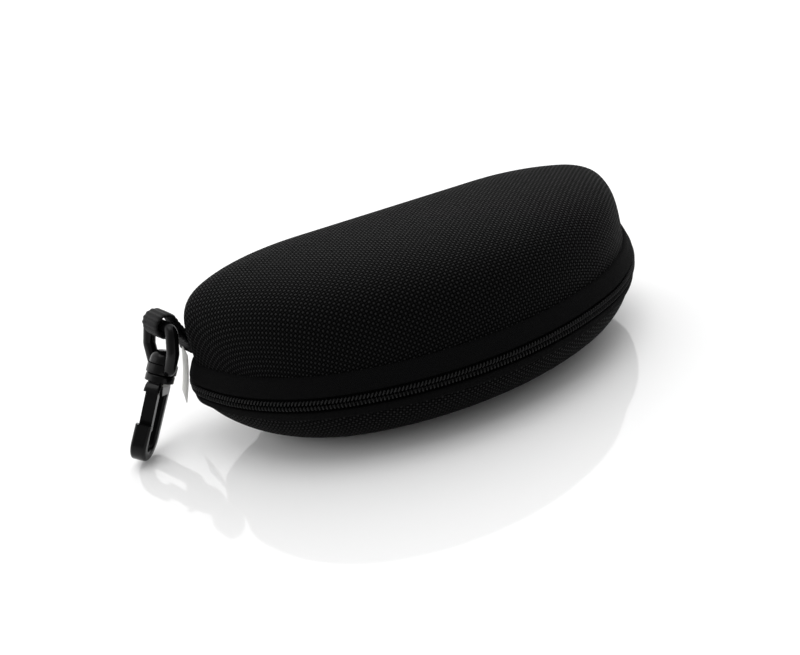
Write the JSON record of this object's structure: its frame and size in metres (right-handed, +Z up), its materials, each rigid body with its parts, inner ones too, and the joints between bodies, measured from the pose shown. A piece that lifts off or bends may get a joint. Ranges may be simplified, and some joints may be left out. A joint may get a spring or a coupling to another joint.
{
  "type": "eyeglasses case",
  "caption": "Moulded hard-shell zip case for eyeglasses with a cloth hinge, a webbing loop and a swivel snap hook.",
  "frame": {"origin": "the middle of the flat patch that the case rests on", "axes": "+Z up, +X along the case away from the hook, -Y towards the opening edge, +Y towards the cloth hinge"},
  "size_m": [0.1829, 0.0799, 0.0523],
  "materials": {
    "woven_cloth": "satin",
    "foam_board": "matte",
    "lining": "matte",
    "zip_tape": "matte",
    "zip_coil": "satin",
    "slider_metal": "gloss",
    "webbing": "matte",
    "hook_plastic": "gloss",
    "label_cloth": "matte"
  },
  "bodies": {
    "base": {"base_shell": "foam_board", "base_skin": "woven_cloth", "base_lining": "lining", "base_zip_tape": "zip_tape", "base_zip_coil": "zip_coil", "base_hinge_strip": "woven_cloth", "zip_tail": "zip_coil", "zip_end_stops": "slider_metal"},
    "lid": {"lid_shell": "foam_board", "lid_skin": "woven_cloth", "lid_lining": "lining", "lid_zip_tape": "zip_tape", "lid_zip_coil": "zip_coil", "lid_hinge_strip": "woven_cloth", "webbing_loop": "webbing", "care_label": "label_cloth"},
    "slider": {"zip_slider": "slider_metal", "slider_crown": "slider_metal"},
    "pull": {"pull_tab": "slider_metal"},
    "eye": {"swivel_eye": "hook_plastic"},
    "hook": {"hook_body": "hook_plastic"},
    "gate": {"hook_gate": "hook_plastic"}
  },
  "joints": [
    {"name": "lid_hinge", "type": "hinge", "parent": "base", "child": "lid", "pos_m": [0, 0.0407, 0.0214], "axis": [-1, 0, 0], "range_deg": [0, 110]},
    {"name": "zip_slide", "type": "hinge", "parent": "base", "child": "slider", "pos_m": [-0.04125, -0.0045, 0.0214], "axis": [0, 0, -1], "range_deg": [-18, 0]},
    {"name": "pull_swing", "type": "hinge", "parent": "slider", "child": "pull", "pos_m": [-0.0581, 0.04178, 0.0214], "axis": [0.9397, 0.342, 0], "range_deg": [0, 85]},
    {"name": "eye_swing", "type": "hinge", "parent": "lid", "child": "eye", "pos_m": [-0.082, 0.0258, 0.0389], "axis": [-0.3243, 0.9457, -0.0224], "range_deg": [0, 100]},
    {"name": "hook_swivel", "type": "hinge", "parent": "eye", "child": "hook", "pos_m": [-0.07788, 0.0272, 0.03839], "axis": [0.52, 0.198, 0.8309], "continuous": true},
    {"name": "gate_hinge", "type": "hinge", "parent": "hook", "child": "gate", "pos_m": [-0.0902, 0.0197, 0.02238], "axis": [0.7863, -0.4909, -0.3751], "range_deg": [0, 22], "stiffness_Nm_per_rad": 0.02}
  ]
}
